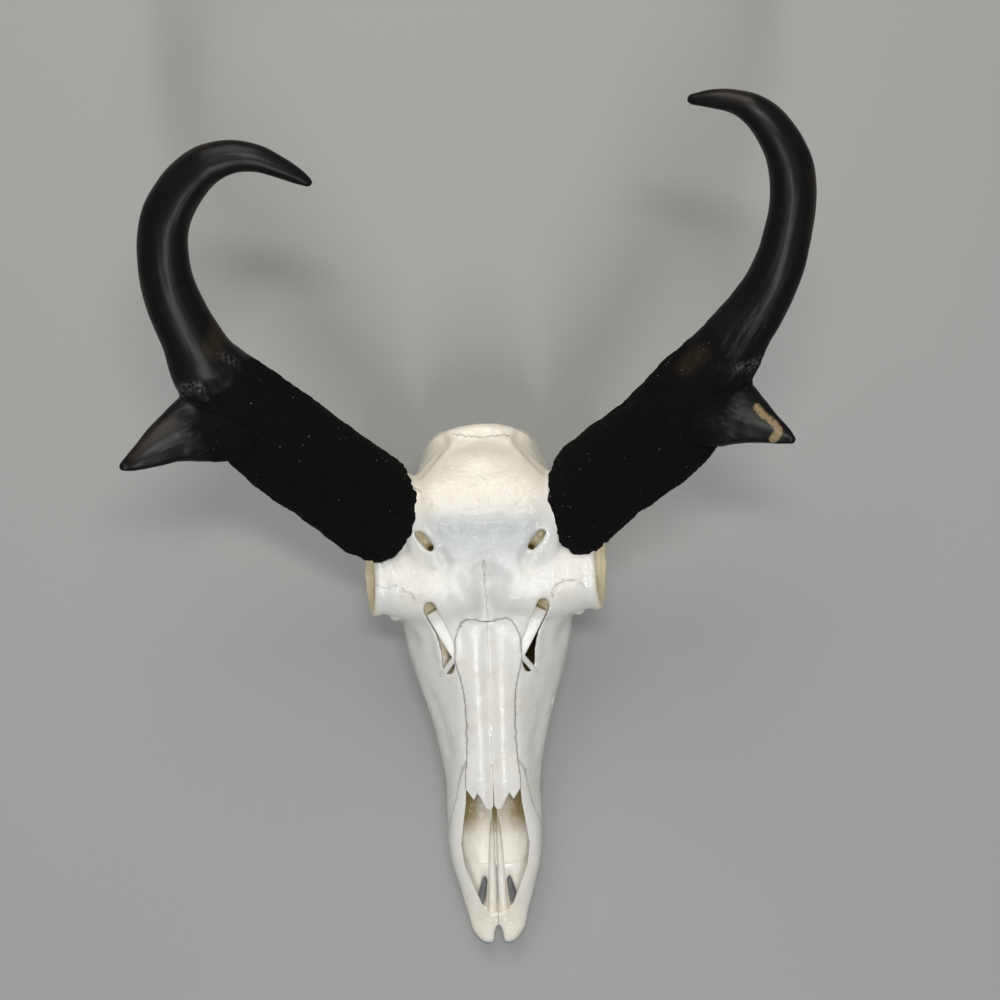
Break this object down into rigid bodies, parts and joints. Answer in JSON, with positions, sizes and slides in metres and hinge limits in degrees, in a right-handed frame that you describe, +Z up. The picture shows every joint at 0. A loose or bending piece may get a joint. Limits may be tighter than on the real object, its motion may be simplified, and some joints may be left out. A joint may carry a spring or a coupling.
{
  "type": "pronghorn antelope skull with both horns",
  "caption": "Pronghorn antelope skull without its lower jaw: whitened bone, hooked black horn sheaths with a forward prong each, and upper cheek teeth.",
  "frame": {"origin": "centre of the bounding box, at its bottom, which is the table that the skull lies on with its face up", "axes": "+Z up, away from the table, towards the horns; +Y towards the back of the head; the nose points to -Y"},
  "size_m": [0.3278, 0.4338, 0.2365],
  "materials": {
    "bone": "whitened and thinly clear-coated bone",
    "horn": "black keratin, rough and fibrous low down, smooth at the tips",
    "enamel": "cream tooth enamel"
  },
  "bodies": {
    "root": {"cranium": "bone", "nasal_left": "bone", "nasal_right": "bone", "premaxilla_left": "bone", "premaxilla_right": "bone", "horn_left": "horn", "horn_right": "horn", "premolar_2_left": "enamel", "premolar_2_right": "enamel", "premolar_3_left": "enamel", "premolar_3_right": "enamel", "premolar_4_left": "enamel", "premolar_4_right": "enamel", "molar_1_left": "enamel", "molar_1_right": "enamel", "molar_2_left": "enamel", "molar_2_right": "enamel", "molar_3_left": "enamel", "molar_3_right": "enamel"}
  },
  "joints": []
}
